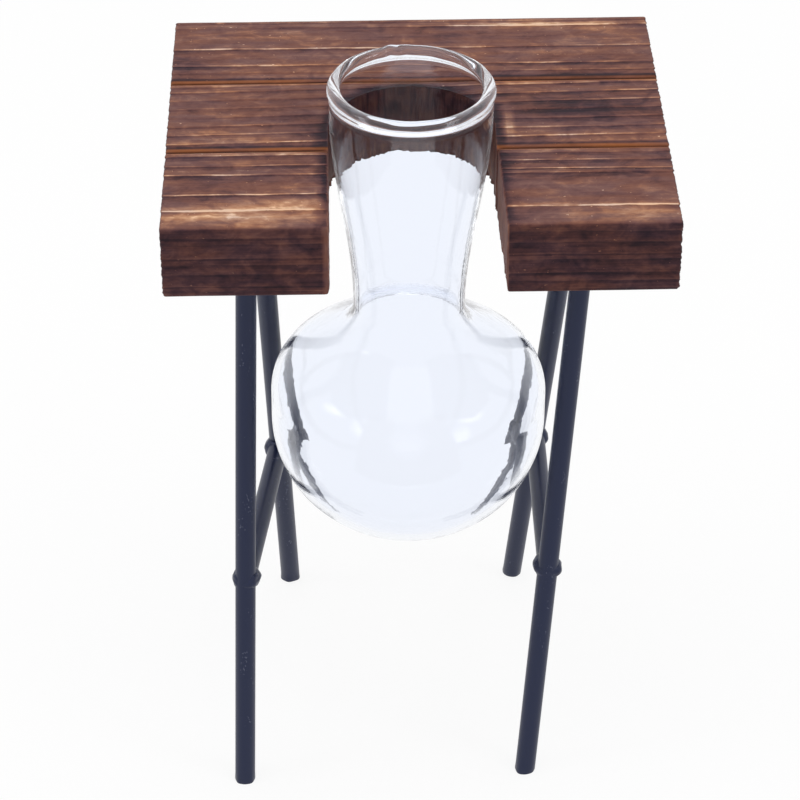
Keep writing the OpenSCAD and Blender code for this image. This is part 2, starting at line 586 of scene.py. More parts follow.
@dataclass
class Plank:
    """One batten, or the block of it that the slot leaves.

    The way over it starts at its back edge and runs forwards over the top and down the front.
    """

    COLUMNS = ("lip", "light", "burn", "amber", "sawn")

    node: str
    seed: float
    burn: float
    ridges: tuple[Ridge, ...]
    strokes: tuple[Stroke, ...]
    drift: float = 0.0
    slant: float = 1.0
    amber_right: float = 1.0
    side_spacing: float = 2.6 * MM
    side_light: float = 0.22
    crests_behind: int = 6
    slow_bend: float = 0.45 * MM
    quick_bend: float = 0.16 * MM
    crest_depth: float = 0.3 * MM
    fibre_depth: float = 0.04 * MM
    left_depth: float = 0.28 * MM
    right_depth: float = 0.6 * MM
    back_ease: float = 1.3 * MM
    front_ease: float = 1.3 * MM
    left_ease: float = 0.7 * MM
    right_ease: float = 0.7 * MM
    steps_along: float = 1.1 * MM
    steps_across: float = 0.26 * MM
    side_burn: float = 0.22
    # The dark line and the crevice along the glued joints are partly char and partly painted shade in the
    # groove.
    line_behind: float = 1.5 * MM
    line_width: float = 0.65 * MM
    line_char_and_shade: float = 0.4
    crevice_width: float = 0.35 * MM
    crevice_char_and_shade: float = 0.5
    groove_depth: float = 5 * MM
    groove_fade: float = 2 * MM
    # Lightens the foot of the front faces.
    foot_lightening: float = 0.16
    foot_height: float = 1.8 * MM
    amber_behind: float = 1.25 * MM
    amber_before: float = 1.6 * MM
    amber_depth: float = 4 * MM
    amber_fade: float = 3 * MM

    def __post_init__(self) -> None:
        """Take the batten's corners and the glued joints from the frame, and list its crests."""
        self.low, self.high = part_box(self.node)
        self.joints = tuple(corner.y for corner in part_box(Board.MIDDLE))
        depth = self.high.y - self.low.y
        girth = 2 * depth + 2 * self.slant * (self.high.z - self.low.z)
        crests = [(ridge.share * depth, ridge.left, ridge.right) for ridge in self.ridges]
        before = [(crests[0][0] - self.side_spacing * (i + 1), self.side_light, self.side_light)
                  for i in range(self.crests_behind)]
        after = []
        while depth + self.side_spacing * (len(after) + 1) < girth:
            uneven = 0.5 + 0.5 * math.sin(self.seed + 2.4 * len(after))
            spread = self.side_spacing * (len(after) + 0.6 + 0.5 * uneven)
            after.append((depth + spread, self.side_light * uneven, self.side_light * (1 - 0.5 * uneven)))
        self.crests = [*reversed(before), *crests, *after]
        self.places = [crest[0] for crest in self.crests]

    def block(self) -> Object:
        """Shape the eased block from a cube.

        Returns:
            The block, with faces fine enough for its relief.
        """
        size = self.high - self.low
        deselect_all()
        bpy.ops.mesh.primitive_cube_add(size=1, location=(self.low + self.high) / 2, scale=size)
        piece = take_primitive(f"{self.node}_wood")
        small = 0.01 * MM
        with editing(piece, Element.EDGE):
            for side, offset in ((self.high.y, self.back_ease), (self.low.y, self.front_ease)):
                pick_edges(piece, lambda a, b: abs(a.x - b.x) > size.x / 2 and abs(a.y - side) < small)
                bpy.ops.mesh.bevel(offset=offset, segments=5, affect="EDGES")
            for end, offset in ((self.low.x, self.left_ease), (self.high.x, self.right_ease)):
                pick_edges(piece, lambda a, b: max(abs(a.x - end), abs(b.x - end)) < small)
                bpy.ops.mesh.bevel(offset=offset, segments=4, affect="EDGES")
            for axis, step in ((Axis.X, self.steps_along), (Axis.Y, self.steps_across),
                               (Axis.Z, self.steps_across)):
                self.cut_finer(piece, axis, step)
        return piece

    def cut_finer(self, piece: Object, axis: Axis, step: float) -> None:
        """Cut the long edges along one axis into short steps.

        Args:
            piece: The block, open in edit mode.
            axis: The axis that the edges run along.
            step: The largest length of a step.
        """
        most_cuts = 100
        longest = (self.high - self.low)[axis.value]
        while longest > 2 * step:
            cuts = min(most_cuts, math.ceil(longest / step) - 1)
            bound = longest * 0.45
            straight = 0.01 * MM
            pick_edges(piece, lambda a, b: abs(a[axis.value] - b[axis.value]) > bound
                       and (a - b).length - abs(a[axis.value] - b[axis.value]) < straight)
            bpy.ops.mesh.subdivide(number_cuts=cuts)
            longest /= cuts + 1

    def crest(self, place: Vector) -> Triple:
        """Find the crests on both sides of a place.

        Args:
            place: A point on the batten.

        Returns:
            The way from the crest behind it, the way to the crest in front of it, and the nearer
            one's lightness.
        """
        slow = ripple(place, (80, 24, 30), self.seed)
        quick = ripple(place, (17, 6, 9), self.seed + 7)
        travel = self.high.y - place.y + self.slant * (self.high.z - place.z) + self.drift * place.x
        travel += self.slow_bend * slow + self.quick_bend * quick
        i = clamp(bisect.bisect(self.places, travel), 1, len(self.places) - 1)
        front = travel - self.places[i - 1]
        behind = self.places[i] - travel
        _, left, right = self.crests[i - 1] if front < behind else self.crests[i]
        return front, behind, left + (right - left) * self.along(place)

    def along(self, place: Vector) -> float:
        """Return how far a place is along the batten, from 0 at its left end to 1 at its right."""
        return (place.x - self.low.x) / (self.high.x - self.low.x)

    def relief(self, place: Vector, front: float, behind: float) -> float:
        """Depth that the brush took away at a place.

        Args:
            place: A point on the batten.
            front: The way from the crest behind it.
            behind: The way to the crest in front of it.

        Returns:
            The depth under the plain block.
        """
        lip_reach = 0.25 * MM
        slope_reach = 0.8 * MM
        lip = 1 - math.exp(-max(0.0, front) / lip_reach)
        recovery = math.exp(-max(0.0, front) / (0.4 * (front + behind)))
        slope = 1 - math.exp(-max(0.0, behind) / slope_reach)
        strength = 0.7 + 0.5 * ripple(place, (40, 6, 6), self.seed + 3)
        scoop = strength * (0.3 * slope * lip + 0.7 * lip * recovery)
        fine = 1 + ripple(place, (9, 0.9, 0.9), self.seed + 5)
        return self.crest_depth * scoop + self.fibre_depth * fine

    def teeth(self, place: Vector, front: float) -> float:
        """Work out how far the worn end grain draws a place inwards along the batten.

        Args:
            place: A point on the batten.
            front: The way from the crest behind it.

        Returns:
            The shift along X.
        """
        reach = 2.2 * MM
        at_left = self.left_depth * ease(1 - (place.x - self.low.x) / reach)
        at_right = self.right_depth * ease(1 - (self.high.x - place.x) / reach)
        if at_left == 0 and at_right == 0:
            return 0.0
        uneven = clamp(0.5 + 0.9 * ripple(place, (40, 4, 4), self.seed + 8))
        lip = 0.2 * MM
        notch_width = 0.7 * MM
        notch_rise = 0.3 * MM
        notch = uneven * bell(max(0.0, front - lip) / notch_width) * ease(front / notch_rise)
        rough = clamp(0.5 + 0.8 * ripple(place, (3, 0.55, 0.55), self.seed + 9))
        return (0.6 * notch + 0.4 * rough) * (at_left - at_right)

    def make(self, finish: Material, slot: "SlotCut") -> Object:
        """Build the batten with its relief and its burns.

        Args:
            finish: The wood.
            slot: The slot that cuts the board.

        Returns:
            The finished piece.
        """
        piece = self.block()
        slot.cut(piece, self)
        mesh = piece.data
        mesh.update()
        columns: dict[str, list[float]] = {name: [] for name in self.COLUMNS}
        moved = []
        for vertex in mesh.vertices:
            place, facing = vertex.co, vertex.normal
            front, behind, light = self.crest(place)
            lip = front / MM if front < behind else -behind / MM
            wall = slot.wall(place, facing)
            burn = self.burn_at(place, facing, slot, wall)
            for name, value in zip(self.COLUMNS, (lip, light, burn, self.amber_at(place), wall)):
                columns[name].append(value)
            glued = min(abs(place.y - joint) for joint in self.joints) < 0.02 * MM
            depth = 0.0 if glued else self.relief(place, front, behind)
            depth += wall * (slot.torn(place) - depth)
            shift = Vector(((1 - wall) * self.teeth(place, front), 0, 0))
            moved.append(place - facing * depth + shift + slot.chipped(place, self))
        for vertex, place in zip(mesh.vertices, moved):
            vertex.co = place
        for name, values in columns.items():
            store(piece, name, values)
        hand_over(piece, 50, STAND, Slot.WOOD, self.node, finish)
        return piece

    def burn_at(self, place: Vector, facing: Vector, slot: "SlotCut", wall: float) -> float:
        """Work out how dark the wood is: the flame's char, with painted shade added in the grooves and
        beside the slot.

        Args:
            place: A point on the batten.
            facing: The direction that its surface faces.
            slot: The slot that cuts the board.
            wall: How far the point is on a wall of the slot.

        Returns:
            The burn, from 0, bare, to 1, charred.
        """
        side = self.side_burn * ease((0.75 - facing.z) / 0.3)
        from_joints = [place.y - joint for joint in self.joints]
        line = max(bell((away - self.line_behind) / self.line_width) for away in from_joints)
        crevice = max(bell(away / self.crevice_width) for away in from_joints)
        # Darker along the joints: partly char, partly painted shade in the groove.
        groove = self.line_char_and_shade * line + self.crevice_char_and_shade * crevice
        groove *= ease((place.z - self.high.z + self.groove_depth) / self.groove_fade)
        top = clamp(facing.z)
        burn = self.burn + side + groove + top * sum(stroke.at(place) for stroke in self.strokes)
        # Beside the slot: partly soot, partly painted shade around the neck.
        burn += top * slot.soot_and_shade(place)
        # Lighter along the foot of the front face.
        to_foot = self.low.z + self.foot_height - place.z
        burn -= self.foot_lightening * clamp(-facing.y) * ease(to_foot / self.foot_height)
        return clamp(burn + wall * (slot.burn(place, self) - burn), 0.0, 1.2)

    def amber_at(self, place: Vector) -> float:
        """Work out how much golden tone shows along the grooves between battens: partly the scorch's own
        colour, partly painted highlight on the eased back edge of the batten in front.

        Args:
            place: A point on the batten.

        Returns:
            The share of the golden tone.
        """
        over = ease((place.z - self.high.z + self.amber_depth) / self.amber_fade)
        glow = 0.95 + ripple(place, (16, 1.2, 9), self.seed + 4)
        glow *= 1 - (1 - self.amber_right) * ease((self.along(place) - 0.5) / 0.2)
        crevice = 0.3 * MM
        best = 0.0
        for joint in self.joints:
            away = place.y - joint
            # In front of a joint, on the eased back edge of the front batten, the golden tone is partly
            # painted highlight.
            reach = self.amber_behind if away > 0 else self.amber_before
            best = max(best, ease(1.2 - abs(away) / reach) * (1 - bell(away / crevice)))
        return clamp(0.9 * best * over * glow)


@dataclass
class SlotCut:
    """The slot that holds the neck, with a round end and straight walls to the front."""

    middle_x: float = -1.2 * MM
    middle_y: float = -4.95 * MM
    radius: float = 19.95 * MM
    flare: float = 0.61 * MM
    roughness: float = 0.3 * MM
    chip: float = 1.3 * MM
    chip_rise: float = 2.6 * MM
    wall_reach: float = 1.3 * MM
    overrun: float = 2 * MM
    # The darkening of the top face beside the slot is partly soot and partly painted shade around the neck.
    soot_and_shade_reach: float = 2.4 * MM
    soot_and_shade_sway: float = 1.4 * MM
    soot_and_shade_burn: float = 0.5
    end_burn: float = 0.72
    # Lightens the lower part of the round end: partly less char, partly a painted reflection of the white
    # surroundings in the glass in front.
    low_char_and_reflection: float = -0.3
    side_burn: float = 0.46
    burn_drop: float = 6 * MM
    burn_fade: float = 8 * MM
    steps_round: int = 320

    def cut(self, piece: Object, plank: Plank) -> None:
        """Cut the slot out of a batten, where it reaches it.

        Args:
            piece: The batten's block.
            plank: The batten's sizes.
        """
        if plank.node == Board.MIDDLE:
            self.cut_round_end(piece, plank)
        if plank.node == Board.RIGHT_BLOCK:
            self.cut_flare(piece, plank)

    def cut_round_end(self, piece: Object, plank: Plank) -> None:
        """Take the round end and the first of the straight walls out of the middle batten.

        Args:
            piece: The batten's block.
            plank: The batten's sizes.
        """
        height = plank.high.z - plank.low.z
        middle = Vector((self.middle_x, self.middle_y, (plank.low.z + plank.high.z) / 2))
        deselect_all()
        bpy.ops.mesh.primitive_cylinder_add(vertices=self.steps_round, radius=self.radius,
                                            depth=height + 2 * self.overrun, location=middle)
        cutter = take_primitive("slot_cutter")
        front = plank.low.y - self.overrun
        with editing(cutter, Element.FACE):
            mesh = bmesh.from_edit_mesh(cutter.data)
            for vertex in mesh.verts:
                if vertex.co.y < self.middle_y - MM:
                    side = 1 if vertex.co.x > self.middle_x else -1
                    share = clamp((self.middle_y - vertex.co.y) / self.radius)
                    vertex.co.y = self.middle_y + (front - self.middle_y) * share
                    vertex.co.x = self.middle_x + side * self.radius * (1 if share < 0.999 else 0)
            bmesh.update_edit_mesh(cutter.data)
            upright = height / 2
            pick_edges(cutter, lambda a, b: abs(a.z - b.z) > upright)
            bpy.ops.mesh.subdivide(number_cuts=math.ceil(height / plank.steps_across / 1.5))
        apply_modifier(piece, "BOOLEAN", object=cutter, operation="DIFFERENCE", solver="EXACT")
        bpy.data.objects.remove(cutter)

    def cut_flare(self, piece: Object, plank: Plank) -> None:
        """Lean the wall of the right block outwards to the front.

        Args:
            piece: The block.
            plank: The block's sizes.
        """
        for vertex in piece.data.vertices:
            share = (plank.high.y - vertex.co.y) / (plank.high.y - plank.low.y)
            room = (plank.high.x - vertex.co.x) / (plank.high.x - plank.low.x)
            vertex.co.x += self.flare * share * room

    def away(self, place: Vector) -> float:
        """Return how far a place is outside the slot's edge."""
        return math.hypot(place.x - self.middle_x, max(0.0, place.y - self.middle_y)) - self.radius

    def wall(self, place: Vector, facing: Vector) -> float:
        """Tell the walls of the slot from the batten's other faces.

        Args:
            place: A point on a batten.
            facing: The direction that its surface faces.

        Returns:
            1 on the walls of the slot and 0 elsewhere.
        """
        sideways = math.hypot(facing.x, facing.y)
        to_middle = (self.middle_x - place.x) * facing.x + min(0.0, self.middle_y - place.y) * facing.y
        return ease((sideways - 0.6) / 0.3) if self.away(place) < self.wall_reach and to_middle > 0 else 0.0

    def torn(self, place: Vector) -> float:
        """Return the depth of the saw marks in a wall of the slot."""
        return self.roughness * (0.5 + 0.5 * ripple(place, (1.2, 1.2, 7), 2.0))

    def chipped(self, place: Vector, plank: Plank) -> Vector:
        """Work out how far the saw broke the lower edge of the slot away.

        Args:
            place: A point on a batten.
            plank: The batten's sizes.

        Returns:
            The shift of the point, away from the slot.
        """
        low_share = ease((plank.low.z + self.chip_rise - place.z) / self.chip_rise)
        near_share = ease(1 - abs(self.away(place)) / (2 * self.chip))
        if low_share * near_share == 0:
            return Vector((0, 0, 0))
        outward = Vector((place.x - self.middle_x, max(0.0, place.y - self.middle_y), 0)).normalized()
        coarse = ripple(place, (3.4, 3.4, 30), 5.0)
        fine = ripple(place, (0.9, 0.9, 9), 6.0)
        return outward * self.chip * low_share * near_share * clamp(0.3 + 0.8 * coarse + 0.8 * fine)

    def soot_and_shade(self, place: Vector) -> float:
        """Return how much darker the top face is beside the slot: partly soot, partly painted shade around
        the neck.
        """
        soot_and_shade_width = self.soot_and_shade_reach + self.soot_and_shade_sway * ripple(place, (4, 4, 4), 9.0)
        return self.soot_and_shade_burn * bell(max(0.0, self.away(place)) / soot_and_shade_width)

    def burn(self, place: Vector, plank: Plank) -> float:
        """Work out how dark the walls of the slot are.

        Args:
            place: A point on a wall.
            plank: The batten's sizes.

        Returns:
            The burn, which is darkest at the top of the round end and lighter lower down, partly from less
            char and partly as painted reflection.
        """
        at_end = ease((place.y - self.middle_y) / self.burn_fade)
        below = ease((plank.high.z - self.burn_drop - place.z) / self.burn_fade)
        return self.side_burn + (self.end_burn - self.side_burn + self.low_char_and_reflection * below) * at_end


@dataclass
class Board:
    """The three scorched battens, glued side by side, with the slot between two blocks at the front."""

    BACK = "back_plank"
    MIDDLE = "middle_plank"
    LEFT_BLOCK = "front_left_block"
    RIGHT_BLOCK = "front_right_block"

    finish: WoodFinish = field(default_factory=WoodFinish)
    slot: SlotCut = field(default_factory=SlotCut)

    def back(self) -> Plank:
        """Return the back batten."""
        ridges = (Ridge(0.12, 0.1, 1.0), Ridge(0.47, 0.75, 0.8), Ridge(0.735, 0.5, 0.75),
                  Ridge(0.855, 0.05, 0.4))
        strokes = (Stroke(30, 46.2, 26, 1.7, -0.3), Stroke(38, 45, 10, 2.6, -0.16),
                   Stroke(20, 41, 20, 3, 0.1), Stroke(39, 32, 4, 3.5, -0.14), Stroke(-58, 27, 8, 9, 0.26),
                   Stroke(-18, 22, 22, 3, -0.1), Stroke(-2, 42, 18, 5, 0.07), Stroke(52, 24, 16, 5, 0.12),
                   Stroke(-48.4, 49.4, 1.1, 0.9, -0.5), Stroke(38, 28, 16, 4, 0.1),
                   Stroke(42, 19.5, 24, 1.8, 0.22))
        return Plank(self.BACK, 3.1, 0.46, ridges, strokes, back_ease=0.7 * MM, amber_right=0.35)

    def middle(self) -> Plank:
        """Return the middle batten, which the legs and the slot go into."""
        ridges = (Ridge(0.097, 0.3, 0.6), Ridge(0.224, 0.1, 0.8), Ridge(0.35, 0.15, 0.65),
                  Ridge(0.473, 0.15, 0.3), Ridge(0.603, 0.35, 0.35), Ridge(0.736, 0.35, 0.45),
                  Ridge(0.861, 0.85, 0.75))
        strokes = (Stroke(-46, -7, 15, 6, -0.1), Stroke(-26, -3, 8, 9, 0.14), Stroke(40, 3, 22, 6, 0.35),
                   Stroke(46, -12, 16, 2.6, -0.2), Stroke(-36, -11, 18, 1.8, -0.12),
                   Stroke(22.2, -4, 1.1, 8, -0.55), Stroke(30, -10, 8, 4, 0.05),
                   Stroke(-36, 16.4, 24, 1.1, -0.22), Stroke(26, 16.6, 10, 1.0, -0.14))
        return Plank(self.MIDDLE, 8.7, 0.5, ridges, strokes, drift=0.027)

    def left_block(self) -> Plank:
        """Return the block in front of the slot's left side."""
        ridges = (Ridge(0.065, 0.75, 0.6), Ridge(0.197, 0.5, 0.9), Ridge(0.315, 0.9, 0.85),
                  Ridge(0.573, 0.8, 1.0), Ridge(0.776, 0.8, 0.4))
        strokes = (Stroke(-46, -29.5, 30, 3.2, 0.1), Stroke(-28, -31, 8, 4, -0.12),
                   Stroke(-42, -45.0, 34, 3.6, -0.42), Stroke(-40, -41, 30, 2.4, -0.12),
                   Stroke(-30, -39.5, 11, 3.4, -0.24), Stroke(-56, -38.5, 10, 2.4, 0.12),
                   Stroke(-50, -42.5, 12, 1.2, -0.2), Stroke(-38, -16.6, 22, 1.3, -0.26))
        return Plank(self.LEFT_BLOCK, 15.2, 0.53, ridges, strokes, right_ease=0.9 * MM,
                     front_ease=0.95 * MM)

    def right_block(self) -> Plank:
        """Return the block in front of the slot's right side."""
        ridges = (Ridge(0.066, 0.35, 0.4), Ridge(0.172, 0.8, 0.5), Ridge(0.285, 0.95, 0.7),
                  Ridge(0.335, 0.6, 0.2), Ridge(0.766, 1.0, 0.85))
        strokes = (Stroke(48, -28, 20, 2.6, 0.14), Stroke(36, -35, 18, 4.5, -0.08),
                   Stroke(56, -36, 6, 6, -0.08), Stroke(50, -45.5, 18, 3.6, -0.3),
                   Stroke(26, -45, 9, 2.4, 0.1), Stroke(38, -42, 24, 1.4, -0.26),
                   Stroke(30, -16.5, 16, 1.1, -0.22))
        return Plank(self.RIGHT_BLOCK, 22.6, 0.55, ridges, strokes, left_ease=0.9 * MM,
                     front_ease=0.95 * MM)

    def make(self) -> None:
        """Build the board."""
        wood = self.finish.make()
        for plank in (self.back(), self.middle(), self.left_block(), self.right_block()):
            plank.make(wood, self.slot)


@dataclass
class BlownVase:
    """The vase: a rolled rim, a funnel neck, a waist and a round bulb, blown in one piece.

    Heights are counted from the top face of the board.
    """

    neck_finish: GlassFinish = GlassFinish("clear_glass", (0.95, 0.9, 0.93), wave_height=0.06 * MM)
    bulb_finish: GlassFinish = GlassFinish("clear_glass_bulb", (0.22, 0.22, 0.22))
    finish_seam: float = 4 * MM
    rim_r: float = 20.25 * MM
    bead_r: float = 1.65 * MM
    rim_rise: float = 11.8 * MM
    seat_r: float = 19.7 * MM
    waist_r: float = 13.9 * MM
    waist_drop: float = 50 * MM
    waist_fillet: float = 10 * MM
    shoulder_angle: float = math.radians(57)
    shoulder_round: float = 13 * MM
    bulb_r: float = 34.8 * MM
    side_h: float = 7.3 * MM
    base_h: float = 32.4 * MM
    glass_t: float = 1.5 * MM
    neck_t: float = 0.5 * MM
    neck_slope_share: float = 0.54
    lean: float = math.radians(0.6)
    shift_x: float = -0.15 * MM
    thin_from: float = 11 * MM
    thinnest: float = 7 * MM
    thin_to: float = -74 * MM
    steps_round: int = 192
    rise_steps: int = 26
    neck_steps: int = 34
    fillet_steps: int = 14
    slope_steps: int = 5
    shoulder_steps: int = 12
    side_steps: int = 8
    base_steps: int = 36
    bead_steps: int = 28
    soft_rounds: int = 14
    soft_drop: float = 3 * MM
    rim_depth: float = 3.6 * MM
    rim_fade: float = 2 * MM
    wave_depth: float = 0.05 * MM
    rim_wave: float = 0.15 * MM
    fold_at: float = math.radians(102)
    fold_width: float = math.radians(9)
    fold_depth: float = 0.3 * MM
    fold_rise: float = 0.28 * MM

    def outline(self, inset: float) -> Outline:
        """Work out the wall's outline from under the bead down to the bottom.

        Args:
            inset: How far inside the outer face it lies.

        Returns:
            Pairs of radius and height.
        """
        hollow_r = self.waist_r + self.waist_fillet
        hollow = self.waist_fillet + inset
        crown_r = self.bulb_r - self.shoulder_round
        crown = self.shoulder_round - inset
        slope = self.shoulder_angle
        fillet_w = self.waist_fillet * (1 - math.cos(slope))
        round_w = self.shoulder_round * (1 - math.cos(slope))
        slope_w = self.bulb_r - self.waist_r - fillet_w - round_w
        side_z = -(self.waist_drop + self.waist_fillet * math.sin(slope) + slope_w / math.tan(slope)
                   + self.shoulder_round * math.sin(slope))
        base_z = side_z - self.side_h
        wall_r = self.rim_r - self.bead_r / 4
        under = (wall_r - inset - self.rim_r + self.bead_r) / self.bead_r
        wall_z = self.rim_rise - self.bead_r - self.bead_r * math.sqrt(1 - under * under)
        points = []
        for i in range(self.rise_steps, 0, -1):
            t = i / self.rise_steps
            points.append((self.seat_r + (wall_r - self.seat_r) * t - inset, wall_z * t))
        for i in range(self.neck_steps, 0, -1):
            t = i / self.neck_steps
            widening = t * t * (3 - self.neck_slope_share - (2 - self.neck_slope_share) * t)
            radius = self.waist_r - inset + (self.seat_r - self.waist_r) * widening
            points.append((radius, -self.waist_drop * (1 - t)))
        for i in range(self.fillet_steps + 1):
            a = slope * i / self.fillet_steps
            points.append((hollow_r - hollow * math.cos(a), -self.waist_drop - hollow * math.sin(a)))
        above = points[-1]
        shoulder = []
        for i in range(self.shoulder_steps + 1):
            a = slope * (1 - i / self.shoulder_steps)
            shoulder.append((crown_r + crown * math.cos(a), side_z + crown * math.sin(a)))
        below = shoulder[0]
        for i in range(1, self.slope_steps):
            t = i / self.slope_steps
            points.append((above[0] + (below[0] - above[0]) * t, above[1] + (below[1] - above[1]) * t))
        points.extend(shoulder)
        for i in range(1, self.side_steps):
            points.append((self.bulb_r - inset, side_z - self.side_h * i / self.side_steps))
        for i in range(self.base_steps):
            a = math.pi / 2 * i / self.base_steps
            height = base_z - (self.base_h - inset) * math.sin(a)
            points.append(((self.bulb_r - inset) * math.cos(a), height))
        points.append((0.0, base_z - self.base_h + inset))
        return points

    def bead(self) -> Outline:
        """Work out the rolled rim, from the inner wall over the top to the outer wall.

        Returns:
            Pairs of radius and height.
        """
        middle_r = self.rim_r - self.bead_r
        middle_z = self.rim_rise - self.bead_r
        wall_r = self.rim_r - self.bead_r / 4
        inner = 2 * math.pi - math.acos((wall_r - self.glass_t - middle_r) / self.bead_r)
        outer = -math.acos((wall_r - middle_r) / self.bead_r)
        points = []
        for i in range(self.bead_steps + 1):
            a = inner + (outer - inner) * i / self.bead_steps
            points.append((middle_r + self.bead_r * math.cos(a), middle_z + self.bead_r * math.sin(a)))
        return points

    def thinned(self, outer: Outline, inner: Outline) -> Outline:
        """Thin the wall of the neck, which was drawn out when the vase was blown.

        Args:
            outer: The outline of the outer face.
            inner: The outline of the inner face, point for point.

        Returns:
            The inner outline, closer to the outer one along the neck.
        """
        moved = []
        for (out_r, out_z), (in_r, in_z) in zip(outer, inner):
            under_rim = ease((self.thin_from - out_z) / (self.thin_from - self.thinnest))
            along = under_rim * clamp((out_z - self.thin_to) / (self.thinnest - self.thin_to))
            share = 1 - (1 - self.neck_t / self.glass_t) * along
            moved.append((out_r + (in_r - out_r) * share, out_z + (in_z - out_z) * share))
        return moved

    def relaxed(self, points: Outline) -> Outline:
        """Round the outline where the bead runs into the wall.

        Args:
            points: Pairs of radius and height.

        Returns:
            The same outline with soft joints under the bead.
        """
        wall_top = self.rim_rise - self.bead_r * 1.2
        for _ in range(self.soft_rounds):
            soft = list(points)
            for i in range(1, len(points) - 1):
                if wall_top - self.soft_drop < points[i][1] < wall_top:
                    around = zip(points[i - 1], points[i], points[i + 1])
                    soft[i] = tuple((a + 2 * b + c) / 4 for a, b, c in around)
            points = soft
        return points

    def make(self) -> Object:
        """Build the vase.

        Returns:
            The finished piece.
        """
        outer = self.outline(0.0)
        inner = self.thinned(outer, self.outline(self.glass_t))
        points = self.relaxed(list(reversed(inner)) + self.bead() + outer)
        deselect_all()
        bpy.ops.mesh.primitive_circle_add(vertices=len(points), radius=self.bulb_r)
        piece = take_primitive("blown_vase")
        for vertex, (radius, height) in zip(piece.data.vertices, points):
            vertex.co = (radius, 0.0, height)
        small = 0.001 * MM
        with editing(piece, Element.EDGE):
            pick_edges(piece, lambda a, b: a.x < small and b.x < small)
            bpy.ops.mesh.delete(type="EDGE")
            bpy.ops.mesh.select_all(action="SELECT")
            bpy.ops.mesh.spin(steps=self.steps_round, angle=2 * math.pi, center=(0, 0, 0), axis=(0, 0, 1),
                              use_auto_merge=True)
            bpy.ops.mesh.select_all(action="SELECT")
            bpy.ops.mesh.remove_doubles(threshold=0.005 * MM)
            bpy.ops.mesh.normals_make_consistent(inside=False)
        self.hand_work(piece)
        for finish in (self.neck_finish, self.bulb_finish):
            piece.data.materials.append(finish.make())
        for face in piece.data.polygons:
            face.material_index = 1 if face.center.z < self.finish_seam else 0
        slot = SlotCut()
        piece.rotation_euler = (0, self.lean, 0)
        piece.location = (slot.middle_x + self.shift_x, slot.middle_y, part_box(Board.BACK)[1].z)
        make_active(piece)
        bpy.ops.object.transform_apply(location=True, rotation=True, scale=True)
        hand_over(piece, 80, VASE, Slot.GLASS, VASE)
        return piece

    def hand_work(self, piece: Object) -> None:
        """Leave the small unevenness of blown glass in the walls and the rim.

        Args:
            piece: The vase, before it is placed.
        """
        for vertex in piece.data.vertices:
            place = vertex.co
            radius = math.hypot(place.x, place.y)
            if radius < MM:
                continue
            rim = ease((place.z - self.rim_rise + self.rim_depth) / self.rim_fade)
            away = (math.atan2(place.y, place.x) - self.fold_at) / self.fold_width
            fold = rim * bell(away)
            wave = self.wave_depth * ripple(place, (16, 16, 30), 2.0)
            wave += self.rim_wave * rim * ripple(place, (5, 5, 1.6), 4.0)
            wave += self.fold_depth * fold * math.sin(4 * away)
            vertex.co.x *= 1 + wave / radius
            vertex.co.y *= 1 + wave / radius
            vertex.co.z += self.fold_rise * fold


def middle_of(places: list[Vector]) -> Vector:
    """Return the middle of the box around some points."""
    return Vector([(min(axis) + max(axis)) / 2 for axis in zip(*places)])


